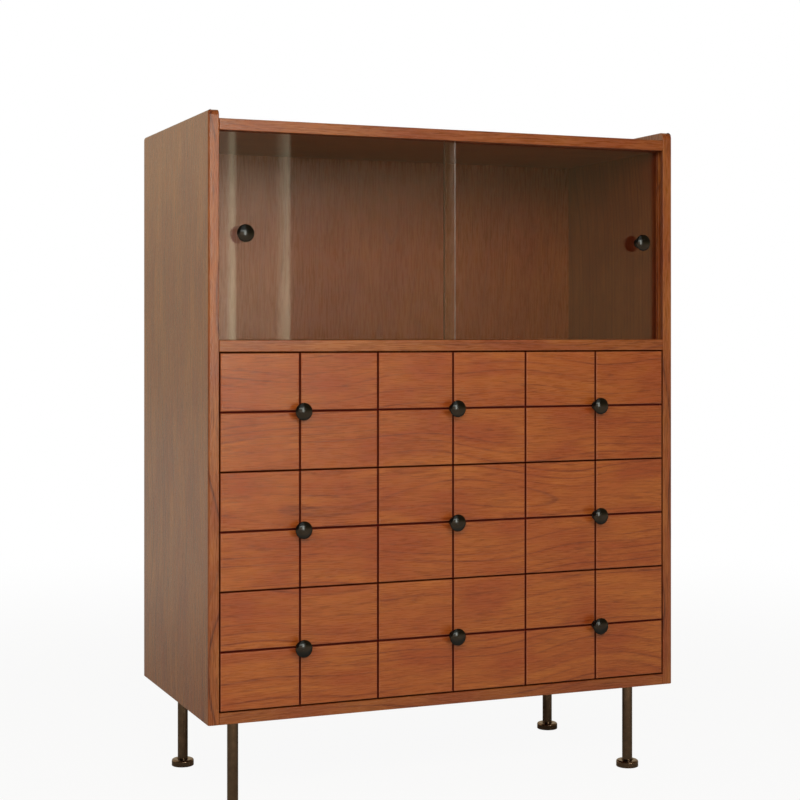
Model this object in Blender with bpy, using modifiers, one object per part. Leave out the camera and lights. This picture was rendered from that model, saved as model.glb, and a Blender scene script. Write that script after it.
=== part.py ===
"""A cherry-stained chest of three wide drawers under a glazed compartment, on slim metal legs.

Two panes of tinted glass slide in grooves across the upper compartment. Each drawer front below
is one board, scored into a grid of tiles, with a row of knobs at the crossings of the scores.
The drawers run on full-extension side runners of three nested steel channels.

Metres, +Z up, front towards -Y. The origin is on the floor, under the middle of the whole object.
"""

import math

import bmesh
import bpy
from mathutils import Matrix, Vector

# Case
WIDTH = 0.800
DEPTH = 0.400
SIDE_THICKNESS = 0.017
BOARD_THICKNESS = 0.0175
SIDE_RISE = 0.013
SIDE_CORNER_RADIUS = 0.009
TOP_ROUNDOVER = 0.0055
ARRIS = 0.001
BACK_THICKNESS = 0.006
BACK_INSET = 0.060
BACK_GROOVE = 0.006
TONGUE_LENGTH = 0.006
TONGUE_THICKNESS = 0.008
TONGUE_STOP = 0.012

# Glazed compartment
GLASS_OPENING = 0.3145
GLASS_THICKNESS = 0.005
GLASS_ARRIS = 0.0005
TRACK_SETBACK = 0.008
TRACK_LAND = 0.002
TRACK_CLEARANCE = 0.0008
UPPER_TRACK_DEPTH = 0.010
LOWER_TRACK_DEPTH = 0.004
SIDE_TRACK_DEPTH = 0.004
LIFT_CLEARANCE = 0.001
PANE_REACH = 0.008
PANE_KNOB_INSET = 0.0384
PANE_KNOB_RISE = 0.003

# Drawers
FRONT_HEIGHT = 0.1773
FRONT_THICKNESS = 0.018
REVEAL = 0.002
TILE_COLUMNS = 6
TILE_ROWS = 2
SCORE_WIDTH = 0.0022
SCORE_DEPTH = 0.004
SCORE_CHAMFER = 0.0011
BOX_WALL = 0.012
BOX_TOP_GAP = 0.024
BOX_BOTTOM_GAP = 0.014
BOX_REAR_GAP = 0.015
BASE_THICKNESS = 0.005
BASE_RAISE = 0.008
BASE_GROOVE = 0.005

# Runners
RUNNER_HEIGHT = 0.045
RUNNER_THICKNESS = 0.0127
RUNNER_SHEET = 0.0012
RUNNER_SETBACK = 0.003

# Knobs
KNOB_RADIUS = 0.0135
KNOB_PROJECTION = 0.022
KNOB_RIM = 0.018
KNOB_NECK_RADIUS = 0.0055
KNOB_BASE_RADIUS = 0.0075
KNOB_BASE_HEIGHT = 0.002
STUD_RADIUS = 0.002
STUD_LENGTH = 0.010

# Legs
LEG_HEIGHT = 0.145
LEG_RADIUS = 0.0085
LEG_INSET = 0.054
PLATE_RADIUS = 0.027
PLATE_THICKNESS = 0.003
FOOT_RADIUS = 0.0185
FOOT_HEIGHT = 0.011
FOOT_ROUNDING = 0.003
FOOT_FLOOR = 0.005

# Clearances: FIT between pieces fixed together, RUN between pieces that slide
FIT = 0.0003
RUN = 0.0004

# How far a cutter runs past the face that it opens, how near two points are one,
# and how many sides a round piece has
PAST = 0.002
WELD = 0.00001
ROUND_SIDES = 20
KNOB_SIDES = 16
ARC_STEPS = 4

# Places that follow from the sizes, across, back and up
INNER_HALF = WIDTH / 2 - SIDE_THICKNESS
FRONT_Y = -(DEPTH - KNOB_PROJECTION) / 2
REAR_Y = FRONT_Y + DEPTH
BACK_FACE_Y = REAR_Y - BACK_INSET - BACK_THICKNESS
DRAWER_NAMES = ("bottom", "middle", "top")
DRAWER_PITCH = FRONT_HEIGHT + REVEAL
BOTTOM_Z = LEG_HEIGHT
DRAWERS_Z = BOTTOM_Z + BOARD_THICKNESS + REVEAL
SHELF_Z = DRAWERS_Z + len(DRAWER_NAMES) * DRAWER_PITCH
OPENING_Z = SHELF_Z + BOARD_THICKNESS
TOP_Z = OPENING_Z + GLASS_OPENING
SIDE_TOP_Z = TOP_Z + BOARD_THICKNESS + SIDE_RISE
TRACK_WIDTH = GLASS_THICKNESS + 2 * TRACK_CLEARANCE
TRACK_STARTS = (FRONT_Y + TRACK_SETBACK, FRONT_Y + TRACK_SETBACK + TRACK_WIDTH + TRACK_LAND)
BACK_FOOT_Z = BOTTOM_Z + BOARD_THICKNESS - BACK_GROOVE + FIT
TONGUE_FRONT_Y = TRACK_STARTS[1] + TRACK_WIDTH + TONGUE_STOP
TONGUE_REAR_Y = BACK_FACE_Y - TONGUE_STOP
SIDES = (("left", -1), ("right", 1))

for old_object in list(bpy.data.objects):
    bpy.data.objects.remove(old_object, do_unlink=True)


def new_collection(name):
    """A collection linked to the scene."""
    group = bpy.data.collections.new(name)
    bpy.context.scene.collection.children.link(group)
    return group


PARTS = new_collection("three_drawer_chest")
CUTTERS = new_collection("cutters")


def new_material(name, colour, roughness, metallic=0.0, transmission=0.0):
    """A plain finish: linear base colour, roughness, metallic and transmission."""
    material = bpy.data.materials.new(name)
    material.use_nodes = True
    shader = material.node_tree.nodes["Principled BSDF"]
    shader.inputs["Base Color"].default_value = (*colour, 1.0)
    shader.inputs["Roughness"].default_value = roughness
    shader.inputs["Metallic"].default_value = metallic
    shader.inputs["Transmission Weight"].default_value = transmission
    return material


CHERRY = new_material("cherry_stained_wood", (0.34, 0.105, 0.042), 0.4)
BOX_WOOD = new_material("drawer_box_wood", (0.55, 0.37, 0.2), 0.55)
TEA_GLASS = new_material("tea_glass", (0.33, 0.24, 0.17), 0.03, transmission=0.9)
BLACK_METAL = new_material("black_metal", (0.012, 0.012, 0.012), 0.3, metallic=0.8)
BRONZE_METAL = new_material("dark_bronze_metal", (0.045, 0.03, 0.022), 0.15, metallic=1.0)
ZINC_STEEL = new_material("zinc_plated_steel", (0.55, 0.56, 0.58), 0.3, metallic=1.0)


def add_object(name, data, place, material):
    """A new object in the chest's collection, at a place given as a matrix."""
    piece = bpy.data.objects.new(name, data)
    piece.matrix_world = place
    data.materials.append(material)
    PARTS.objects.link(piece)
    return piece


def chamfer(piece, width):
    """One flat chamfer of the given width along a piece's sharp edges."""
    bevel = piece.modifiers.new("arris", "BEVEL")
    bevel.width = width
    bevel.segments = 1
    bevel.limit_method = "ANGLE"


def box(name, low, high, material, arris=0.0):
    """A board between two corners of the world frame."""
    low = Vector(low)
    high = Vector(high)
    shape = bmesh.new()
    bmesh.ops.create_cube(shape, size=1.0)
    bmesh.ops.scale(shape, vec=high - low, verts=shape.verts)
    mesh = bpy.data.meshes.new(name)
    shape.to_mesh(mesh)
    shape.free()
    board = add_object(name, mesh, Matrix.Translation((low + high) / 2), material)
    if arris:
        chamfer(board, arris)
    return board


def prism(name, outline, along, start, end, material):
    """A flat outline carried straight along X, Y or Z, from start to end.

    The outline's points are (y, z) along X, (x, z) along Y and (x, y) along Z.
    """
    curve = bpy.data.curves.new(name, "CURVE")
    curve.dimensions = "2D"
    curve.fill_mode = "BOTH"
    curve.extrude = (end - start) / 2
    spline = curve.splines.new("POLY")
    spline.points.add(len(outline) - 1)
    for point, (u, v) in zip(spline.points, outline):
        point.co = (u, v, 0.0, 1.0)
    spline.use_cyclic_u = True
    turns = {
        "X": Matrix(((0, 0, 1), (1, 0, 0), (0, 1, 0))),
        "Y": Matrix(((1, 0, 0), (0, 0, -1), (0, 1, 0))),
        "Z": Matrix.Identity(3),
    }
    middle = Vector([(start + end) / 2 if axis == along else 0.0 for axis in "XYZ"])
    place = Matrix.Translation(middle) @ turns[along].to_4x4()
    flat = bpy.data.objects.new(name, curve)
    PARTS.objects.link(flat)
    graph = bpy.context.evaluated_depsgraph_get()
    mesh = bpy.data.meshes.new_from_object(flat.evaluated_get(graph))
    bpy.data.objects.remove(flat, do_unlink=True)
    shape = bmesh.new()
    shape.from_mesh(mesh)
    bmesh.ops.remove_doubles(shape, verts=shape.verts, dist=WELD)
    bmesh.ops.recalc_face_normals(shape, faces=shape.faces)
    shape.to_mesh(mesh)
    shape.free()
    mesh.name = name
    return add_object(name, mesh, place, material)


def turned(name, profile, place, sides, material):
    """A profile of (radius, height) points, from the top down, turned about local Z."""
    edges = [(index, index + 1) for index in range(len(profile) - 1)]
    mesh = bpy.data.meshes.new(name)
    mesh.from_pydata([(radius, 0.0, height) for radius, height in profile], edges, [])
    piece = add_object(name, mesh, place, material)
    screw = piece.modifiers.new("turning", "SCREW")
    screw.steps = sides
    screw.render_steps = sides
    screw.use_merge_vertices = True
    screw.merge_threshold = WELD
    screw.use_smooth_shade = True
    return piece


def arc(centre, radius, start_deg, end_deg, steps=ARC_STEPS):
    """Points on a circular arc, both ends included."""
    angles = [math.radians(start_deg + (end_deg - start_deg) * k / steps) for k in range(steps + 1)]
    return [(centre[0] + radius * math.cos(a), centre[1] + radius * math.sin(a)) for a in angles]


def repeat(tool, count, step):
    """Copies a cutter along a line."""
    array = tool.modifiers.new("row", "ARRAY")
    array.count = count
    array.use_relative_offset = False
    array.use_constant_offset = True
    array.constant_offset_displace = step


def combine(piece, tool, operation="DIFFERENCE"):
    """Cuts a tool out of a piece, or joins it on, and puts the tool with the cutters."""
    boolean = piece.modifiers.new(tool.name, "BOOLEAN")
    boolean.operation = operation
    boolean.solver = "EXACT"
    boolean.object = tool
    PARTS.objects.unlink(tool)
    CUTTERS.objects.link(tool)
    tool.hide_render = True
    tool.display_type = "WIRE"


def carry(name, place, pieces):
    """An empty on a joint's axis that carries the pieces of one moving body."""
    empty = bpy.data.objects.new(name, None)
    empty.location = place
    PARTS.objects.link(empty)
    for piece in pieces:
        piece.parent = empty
        piece.matrix_parent_inverse = Matrix.Translation(place).inverted()


def tongue_box(side, board_z, length, grow):
    """Corners of the stopped tongue on one end of a case board, grown by a clearance."""
    middle_z = board_z + BOARD_THICKNESS / 2
    half = TONGUE_THICKNESS / 2 + grow
    ends = sorted((side * (INNER_HALF - PAST), side * (INNER_HALF + length)))
    low = (ends[0], TONGUE_FRONT_Y - grow, middle_z - half)
    high = (ends[1], TONGUE_REAR_Y + grow, middle_z + half)
    return low, high


def side_panel(label, side):
    """One side of the case, rounded at its upper corners and housed for what it carries."""
    radius = SIDE_CORNER_RADIUS
    outline = [(FRONT_Y, BOTTOM_Z), (REAR_Y, BOTTOM_Z)]
    outline += arc((REAR_Y - radius, SIDE_TOP_Z - radius), radius, 0, 90)
    outline += arc((FRONT_Y + radius, SIDE_TOP_Z - radius), radius, 90, 180)
    faces = sorted((side * INNER_HALF, side * WIDTH / 2))
    panel = prism(f"side_panel_{label}", outline, "X", faces[0], faces[1], CHERRY)
    chamfer(panel, ARRIS)

    outer = side * WIDTH / 2
    centre = (outer - side * TOP_ROUNDOVER, SIDE_TOP_Z - TOP_ROUNDOVER)
    corner = [(outer + side * PAST, SIDE_TOP_Z + PAST), (centre[0], SIDE_TOP_Z + PAST)]
    corner += [(centre[0] + side * (x - centre[0]), z) for x, z in arc(centre, TOP_ROUNDOVER, 90, 0)]
    corner += [(outer + side * PAST, centre[1])]
    roundover = prism(f"roundover_{label}", corner, "Y", FRONT_Y - PAST, REAR_Y + PAST, CHERRY)
    combine(panel, roundover)

    for board_name, board_z in (("bottom", BOTTOM_Z), ("shelf", SHELF_Z), ("top", TOP_Z)):
        low, high = tongue_box(side, board_z, TONGUE_LENGTH, FIT)
        combine(panel, box(f"{board_name}_housing_{label}", low, high, CHERRY))

    for number, track_y in enumerate(TRACK_STARTS, start=1):
        ends = sorted((side * (INNER_HALF - PAST), side * (INNER_HALF + SIDE_TRACK_DEPTH)))
        low = (ends[0], track_y, OPENING_Z - LOWER_TRACK_DEPTH)
        high = (ends[1], track_y + TRACK_WIDTH, TOP_Z + UPPER_TRACK_DEPTH)
        combine(panel, box(f"side_track_{number}_{label}", low, high, CHERRY))

    ends = sorted((side * (INNER_HALF - PAST), side * (INNER_HALF + BACK_GROOVE)))
    low = (ends[0], BACK_FACE_Y - FIT, BACK_FOOT_Z - FIT)
    high = (ends[1], BACK_FACE_Y + BACK_THICKNESS + FIT, TOP_Z + BACK_GROOVE)
    combine(panel, box(f"back_groove_{label}", low, high, CHERRY))


def case_board(name, board_z, rear_y):
    """A board between the side panels, held by a stopped tongue at each end."""
    half = INNER_HALF - FIT
    low = (-half, FRONT_Y, board_z)
    board = box(name, low, (half, rear_y, board_z + BOARD_THICKNESS), CHERRY, ARRIS)
    for label, side in SIDES:
        low, high = tongue_box(side, board_z, TONGUE_LENGTH - FIT, 0.0)
        combine(board, box(f"{name}_tongue_{label}", low, high, CHERRY), "UNION")
    return board


def track_grooves(board, low_z, high_z):
    """The two glass grooves along a board, between two heights."""
    for number, track_y in enumerate(TRACK_STARTS, start=1):
        low = (-INNER_HALF, track_y, low_z)
        high = (INNER_HALF, track_y + TRACK_WIDTH, high_z)
        combine(board, box(f"{board.name}_track_{number}", low, high, CHERRY))


def back_groove(board, low_z, high_z):
    """The groove along a board that holds the back, between two heights."""
    low = (-INNER_HALF, BACK_FACE_Y - FIT, low_z)
    high = (INNER_HALF, BACK_FACE_Y + BACK_THICKNESS + FIT, high_z)
    combine(board, box(f"{board.name}_back_groove", low, high, CHERRY))


def case():
    """The fixed wooden case."""
    for label, side in SIDES:
        side_panel(label, side)

    top = case_board("top_panel", TOP_Z, REAR_Y)
    track_grooves(top, TOP_Z - PAST, TOP_Z + UPPER_TRACK_DEPTH)
    back_groove(top, TOP_Z - PAST, TOP_Z + BACK_GROOVE)

    shelf = case_board("middle_shelf", SHELF_Z, BACK_FACE_Y - FIT)
    track_grooves(shelf, OPENING_Z - LOWER_TRACK_DEPTH, OPENING_Z + PAST)
    bottom = case_board("bottom_panel", BOTTOM_Z, REAR_Y)
    back_groove(bottom, BACK_FOOT_Z - FIT, BOTTOM_Z + BOARD_THICKNESS + PAST)

    half = INNER_HALF + BACK_GROOVE - FIT
    low = (-half, BACK_FACE_Y, BACK_FOOT_Z)
    high = (half, BACK_FACE_Y + BACK_THICKNESS, TOP_Z + BACK_GROOVE - FIT)
    box("back_panel", low, high, CHERRY)


def knob(name, x, face_y, z, stud_length):
    """A domed knob on a short neck, with its stud running back into what it is fixed to."""
    dome = []
    for step in range(ARC_STEPS + 1):
        angle = math.radians(90.0 * step / ARC_STEPS)
        rise = (KNOB_PROJECTION - KNOB_RIM) * math.cos(angle)
        dome.append((KNOB_RADIUS * math.sin(angle), KNOB_RIM + rise))
    neck_top = KNOB_BASE_HEIGHT + (KNOB_RIM - KNOB_BASE_HEIGHT) / 2
    flare = (KNOB_NECK_RADIUS + KNOB_RADIUS) / 2
    profile = dome + [
        (KNOB_RADIUS - KNOB_BASE_HEIGHT / 2, KNOB_RIM - KNOB_BASE_HEIGHT / 2),
        (flare, (neck_top + KNOB_RIM) / 2),
        (KNOB_NECK_RADIUS, neck_top),
        (KNOB_NECK_RADIUS, KNOB_BASE_HEIGHT * 2),
        (KNOB_BASE_RADIUS, KNOB_BASE_HEIGHT),
        (KNOB_BASE_RADIUS, FIT),
        (STUD_RADIUS, FIT),
        (STUD_RADIUS, -stud_length),
        (0.0, -stud_length),
    ]
    place = Matrix.Translation((x, face_y, z)) @ Matrix.Rotation(math.radians(90), 4, "X")
    return turned(name, profile, place, KNOB_SIDES, BLACK_METAL)


def stud_hole(name, x, face_y, z, depth):
    """A round cutter for a knob's stud, into a face that looks towards -Y."""
    radius = STUD_RADIUS + FIT
    profile = [(0.0, PAST), (radius, PAST), (radius, -depth), (0.0, -depth)]
    place = Matrix.Translation((x, face_y, z)) @ Matrix.Rotation(math.radians(90), 4, "X")
    return turned(name, profile, place, KNOB_SIDES, BLACK_METAL)


def glass_pane(label, side, track_y):
    """A sliding pane, closed in the groove of its side panel and reaching past the middle, and its knob."""
    closed = side * (INNER_HALF + SIDE_TRACK_DEPTH - FIT)
    free = -side * PANE_REACH
    front = track_y + TRACK_CLEARANCE
    low_z = OPENING_Z - LOWER_TRACK_DEPTH + FIT
    high_z = TOP_Z + UPPER_TRACK_DEPTH - LOWER_TRACK_DEPTH - LIFT_CLEARANCE
    ends = sorted((closed, free))
    low = (ends[0], front, low_z)
    high = (ends[1], front + GLASS_THICKNESS, high_z)
    pane = box(f"glass_pane_{label}", low, high, TEA_GLASS, GLASS_ARRIS)
    knob_x = side * (INNER_HALF - PANE_KNOB_INSET)
    knob_z = OPENING_Z + GLASS_OPENING / 2 + PANE_KNOB_RISE
    combine(pane, stud_hole(f"pane_hole_{label}", knob_x, front, knob_z, GLASS_THICKNESS + PAST))
    pull = knob(f"pane_knob_{label}", knob_x, front, knob_z, GLASS_THICKNESS)
    carry(f"pane_slide_{label}", (knob_x, front, low_z), (pane, pull))


def score(name, along, start, end):
    """A straight cutter for one scored line, chamfered where it meets the face."""
    half = SCORE_WIDTH / 2
    mouth = half + SCORE_CHAMFER + PAST
    left = [(-mouth, -PAST), (-half, SCORE_CHAMFER), (-half, SCORE_DEPTH)]
    section = left + [(-u, v) for u, v in reversed(left)]
    if along == "Z":
        outline = [(u, FRONT_Y + v) for u, v in section]
    else:
        outline = [(FRONT_Y + v, u) for u, v in section]
    return prism(name, outline, along, start, end, CHERRY)


def drawer_front(name, low_z):
    """The scored front board of a drawer, drilled for its knobs and grooved for the base."""
    half = INNER_HALF - REVEAL
    high_z = low_z + FRONT_HEIGHT
    low = (-half, FRONT_Y, low_z)
    board = box(f"{name}_front", low, (half, FRONT_Y + FRONT_THICKNESS, high_z), CHERRY, ARRIS)

    column = 2 * INNER_HALF / TILE_COLUMNS
    row = (FRONT_HEIGHT + SCORE_WIDTH) / TILE_ROWS
    first_x = -(TILE_COLUMNS / 2 - 1) * column
    upright = score(f"{name}_upright_scores", "Z", low_z - PAST, high_z + PAST)
    upright.location.x += first_x
    repeat(upright, TILE_COLUMNS - 1, (column, 0.0, 0.0))
    combine(board, upright)
    level = score(f"{name}_level_scores", "X", -half - PAST, half + PAST)
    first_z = low_z - SCORE_WIDTH / 2 + row
    level.location.z += first_z
    repeat(level, TILE_ROWS - 1, (0.0, row, 0.0))
    combine(board, level)

    knobs = []
    middle_z = low_z + FRONT_HEIGHT / 2
    for label, place in (("left", -1), ("centre", 0), ("right", 1)):
        knob_x = place * 2 * column
        hole = stud_hole(f"{name}_hole_{label}", knob_x, FRONT_Y, middle_z, STUD_LENGTH + FIT)
        combine(board, hole)
        knobs.append(knob(f"{name}_knob_{label}", knob_x, FRONT_Y, middle_z, STUD_LENGTH))
    return board, knobs


def drawer(name, low_z):
    """One drawer: its front, its box and the runner members that move with it."""
    front, pieces = drawer_front(name, low_z)
    pieces.append(front)
    outer = INNER_HALF - RUNNER_THICKNESS - 2 * FIT
    inner = outer - BOX_WALL
    start_y = FRONT_Y + FRONT_THICKNESS + FIT
    end_y = BACK_FACE_Y - BOX_REAR_GAP
    low = low_z + BOX_BOTTOM_GAP
    high = low_z + FRONT_HEIGHT - BOX_TOP_GAP
    base_z = low + BASE_RAISE
    grooved = inner + BASE_GROOVE
    groove_low_z = base_z - FIT
    groove_high_z = base_z + BASE_THICKNESS + FIT

    groove_low = (-grooved, start_y - FIT - BASE_GROOVE, groove_low_z)
    groove_high = (grooved, start_y + PAST, groove_high_z)
    combine(front, box(f"{name}_front_groove", groove_low, groove_high, BOX_WOOD))

    for label, side in SIDES:
        faces = sorted((side * inner, side * outer))
        corners = ((faces[0], start_y, low), (faces[1], end_y, high))
        wall = box(f"{name}_side_{label}", *corners, BOX_WOOD, ARRIS)
        reach = sorted((side * (inner - PAST), side * grooved))
        groove_low = (reach[0], start_y - PAST, groove_low_z)
        groove_high = (reach[1], end_y + PAST, groove_high_z)
        combine(wall, box(f"{name}_groove_{label}", groove_low, groove_high, BOX_WOOD))
        pieces.append(wall)

    back_low = (-inner + FIT, end_y - BOX_WALL, base_z + BASE_THICKNESS + FIT)
    pieces.append(box(f"{name}_back", back_low, (inner - FIT, end_y, high), BOX_WOOD, ARRIS))

    base_half = grooved - FIT
    base_low = (-base_half, start_y - BASE_GROOVE, base_z)
    base_high = (base_half, end_y, base_z + BASE_THICKNESS)
    pieces.append(box(f"{name}_base", base_low, base_high, BOX_WOOD))

    middle_z = (low + high) / 2
    carried = []
    for label, side in SIDES:
        members = runner(name, label, side, middle_z, start_y + RUNNER_SETBACK, end_y)
        carried.append(members["middle"])
        pieces.append(members["inner"])
    carry(f"{name}_slide", (0.0, FRONT_Y, middle_z), pieces)
    carry(f"{name}_runner_slide", (0.0, FRONT_Y, middle_z), carried)


def channel(web, lip, half):
    """Outline of a channel section: a web, and flanges of the runner's sheet from it to its lip."""
    inside = web + math.copysign(RUNNER_SHEET, lip - web)
    edge = half - RUNNER_SHEET
    upper = [(web, half), (lip, half), (lip, edge), (inside, edge)]
    return upper + [(x, -z) for x, z in reversed(upper)]


def runner(name, label, side, middle_z, start_y, end_y):
    """The three nested channels of one runner: on the case, between, and on the drawer."""
    nest = RUNNER_SHEET + RUN
    half = RUNNER_HEIGHT / 2
    case_face = INNER_HALF - FIT
    drawer_face = case_face - RUNNER_THICKNESS
    mouth = drawer_face + nest
    sections = {
        "outer": channel(case_face, mouth, half),
        "middle": channel(case_face - nest, mouth, half - nest),
        "inner": channel(drawer_face, case_face - 2 * nest, half - 2 * nest),
    }
    members = {}
    for member, section in sections.items():
        outline = [(side * x, middle_z + z) for x, z in section]
        title = f"{name}_runner_{member}_{label}"
        members[member] = prism(title, outline, "Y", start_y, end_y, ZINC_STEEL)
    return members


def leg_and_foot(label, x, y):
    """A round leg under a screwed mounting plate, standing in the socket of its foot."""
    top = BOTTOM_Z - FIT
    neck = top - PLATE_THICKNESS
    leg_end = FOOT_FLOOR + FIT
    leg_profile = [
        (0.0, top),
        (PLATE_RADIUS, top),
        (PLATE_RADIUS, neck),
        (LEG_RADIUS, neck),
        (LEG_RADIUS, leg_end),
        (0.0, leg_end),
    ]
    place = Matrix.Translation((x, y, 0.0))
    turned(f"leg_{label}", leg_profile, place, ROUND_SIDES, BRONZE_METAL)
    socket = LEG_RADIUS + FIT
    shoulder = (FOOT_RADIUS - FOOT_ROUNDING, FOOT_HEIGHT - FOOT_ROUNDING)
    foot_profile = [(0.0, FOOT_FLOOR), (socket, FOOT_FLOOR), (socket, FOOT_HEIGHT)]
    foot_profile += arc(shoulder, FOOT_ROUNDING, 90, 0)
    foot_profile += [(FOOT_RADIUS, ARRIS), (FOOT_RADIUS - ARRIS, 0.0), (0.0, 0.0)]
    turned(f"foot_{label}", foot_profile, place, ROUND_SIDES, BRONZE_METAL)


def legs():
    """A leg and a foot at each corner, all inset alike."""
    leg_x = WIDTH / 2 - LEG_INSET
    rows = (("front", FRONT_Y + LEG_INSET), ("rear", REAR_Y - LEG_INSET))
    for row_label, leg_y in rows:
        for label, side in SIDES:
            leg_and_foot(f"{row_label}_{label}", side * leg_x, leg_y)


legs()
case()
glass_pane("left", -1, TRACK_STARTS[0])
glass_pane("right", 1, TRACK_STARTS[1])
for level, drawer_name in enumerate(DRAWER_NAMES):
    drawer(f"drawer_{drawer_name}", DRAWERS_Z + level * DRAWER_PITCH)
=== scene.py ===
"""Looks of a cherry-stained chest: three scored drawers under a glazed compartment, on slim metal legs."""

import math

import bmesh
import bpy
import numpy as np
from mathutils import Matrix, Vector


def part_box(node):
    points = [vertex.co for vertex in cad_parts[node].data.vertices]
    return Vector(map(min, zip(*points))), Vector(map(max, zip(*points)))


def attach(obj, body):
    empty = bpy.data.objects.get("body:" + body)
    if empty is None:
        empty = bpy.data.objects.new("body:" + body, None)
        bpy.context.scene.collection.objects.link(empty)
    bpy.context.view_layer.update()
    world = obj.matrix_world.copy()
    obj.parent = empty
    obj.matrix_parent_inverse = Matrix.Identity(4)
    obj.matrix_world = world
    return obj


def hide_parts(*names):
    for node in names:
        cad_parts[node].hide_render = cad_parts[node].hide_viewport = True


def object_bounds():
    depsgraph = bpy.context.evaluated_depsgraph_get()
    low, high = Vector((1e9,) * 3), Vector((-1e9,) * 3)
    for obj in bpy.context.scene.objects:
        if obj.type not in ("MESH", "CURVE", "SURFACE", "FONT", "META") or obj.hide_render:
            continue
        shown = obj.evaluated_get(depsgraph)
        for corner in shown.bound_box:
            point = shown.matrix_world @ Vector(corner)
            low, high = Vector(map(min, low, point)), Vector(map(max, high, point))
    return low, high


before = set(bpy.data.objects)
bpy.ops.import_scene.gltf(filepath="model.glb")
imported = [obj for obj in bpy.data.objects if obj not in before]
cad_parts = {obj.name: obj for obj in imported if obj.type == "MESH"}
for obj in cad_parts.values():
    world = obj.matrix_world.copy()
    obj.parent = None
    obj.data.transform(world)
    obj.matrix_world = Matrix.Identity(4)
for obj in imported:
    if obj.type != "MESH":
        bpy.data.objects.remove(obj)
cad_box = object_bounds()


# Side panels: two boards of cherry-stained wood with upright grain, which carry everything else.
# They rise above the top with rounded upper corners, and are housed for the panes and the back.
# Their edges are eased by hand, and all is stained and finished in satin lacquer; the inner faces and
# reveals carry painted shade.
SIDE_CORNER = 0.009
SIDE_ROUNDOVER = 0.0055
ARRIS = 0.001
OUTER_ARRIS = 0.003
GROOVE_MOUTH = 0.0006
GROOVE_FOOT = 0.0002
GROOVE_STOP = 0.0001
TRACK_CLEARANCE = 0.0008
TRACK_DEPTH = 0.004
BACK_CLEARANCE = 0.0003
BACK_GROOVE = 0.006
WELD_DISTANCE = 1e-6
SHARP_ANGLE = 40
# The last two tones are a paler painted highlight for eased edges and a dark red for painted shade; the
# sides use only the painted shade, on their inner faces and reveals.
SIDE_TONES = ("#a25f2a", "#8a471b", "#471405", "#7c2f12", "#b37a60", "#440000")
SIDE_PITH = (0.62, 0.31, 0.3)
UPRIGHT = (0, math.pi / 2, 0)
# Share of the dark red painted shade on the inner faces and reveals.
INSIDE_PAINTED_SHADE = 0.4
RING_WIDTH = 0.009
LATEWOOD_START = 0.72
LATEWOOD_PEAK = 0.94
PITH_WANDER_LENGTH = 0.42
PITH_WANDER = (0, 0.045, 0.045)
RING_WAVER_SIZE = (0.26, 0.04, 0.04)
RING_WAVER = (0, 0.006, 0.006)
LACQUER_IOR = 1.55
LACQUER_ROUGHNESS = 0.27
POOLED_ROUGHNESS = 0.9
VESSEL_DARKENS = 0.3
VESSEL_SINKS = -0.6
PORE_DEPTH = 0.0002
PORE_STRENGTH = 0.2


def corners_of(node_name):
    """Lowest and highest corner of a node of the frame, as arrays."""
    low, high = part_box(node_name)
    return np.array(low), np.array(high)


def eased_outline(corners, radii, steps=5):
    """A closed outline with right-angled corners, each eased by its own radius.

    With a and b pointing from a corner to its two neighbours, the point at angle t of the easing is
    corner + r (a + b) - r (b cos t + a sin t), for t from nothing to a quarter turn.
    """
    corner = np.array(corners)
    radius = np.array(radii)[:, None, None]
    to_last = np.roll(corner, 1, axis=0) - corner
    to_next = np.roll(corner, -1, axis=0) - corner
    to_last /= np.linalg.norm(to_last, axis=1, keepdims=True)
    to_next /= np.linalg.norm(to_next, axis=1, keepdims=True)
    angle = np.linspace(0, math.pi / 2, steps)[None, :, None]
    swing = to_next[:, None] * np.cos(angle) + to_last[:, None] * np.sin(angle)
    points = corner[:, None] + radius * (to_last + to_next)[:, None] - radius * swing
    return points.reshape(-1, 2)


def surface(name, points, wrap=True, caps=True):
    """An object over a grid of points, with a quad between each four neighbours.

    Rows follow the piece and columns go round it. With wrap the last column meets the first, and with
    caps the first and last rows are closed by a face each. A sheet that does neither is closed by one
    flat face across its rim. Points in one place become one.
    """
    rows, columns = points.shape[:2]
    index = np.arange(rows * columns).reshape(rows, columns)
    here = index if wrap else index[:, :-1]
    beside = np.roll(index, -1, axis=1) if wrap else index[:, 1:]
    quads = np.stack((here[:-1], beside[:-1], beside[1:], here[1:]), axis=-1)
    faces = quads.reshape(-1, 4).tolist()
    if caps:
        faces += [index[0, ::-1].tolist(), index[-1].tolist()]
    elif not wrap:
        rim = np.concatenate((index[0, :-1], index[:-1, -1], index[-1, :0:-1], index[:0:-1, 0]))
        faces.append(rim[::-1].tolist())
    mesh = bpy.data.meshes.new(name)
    mesh.from_pydata(points.reshape(-1, 3).tolist(), [], faces)
    shape = bmesh.new()
    shape.from_mesh(mesh)
    bmesh.ops.remove_doubles(shape, verts=shape.verts, dist=WELD_DISTANCE)
    bmesh.ops.dissolve_degenerate(shape, edges=shape.edges, dist=WELD_DISTANCE)
    bmesh.ops.recalc_face_normals(shape, faces=shape.faces)
    shape.to_mesh(mesh)
    shape.free()
    mesh.shade_smooth()
    mesh.set_sharp_from_angle(angle=math.radians(SHARP_ANGLE))
    piece = bpy.data.objects.new(name, mesh)
    bpy.context.scene.collection.objects.link(piece)
    weighted = piece.modifiers.new("flat_faces_stay_flat", "WEIGHTED_NORMAL")
    weighted.keep_sharp = True
    return piece


def drawn_in(height, top, radius):
    """How far a quarter round has come in at a height: r - sqrt(r² - h²), h above its spring line."""
    above = np.clip(height - (top - radius), 0, radius)
    return radius - np.sqrt(radius**2 - above**2)


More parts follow.
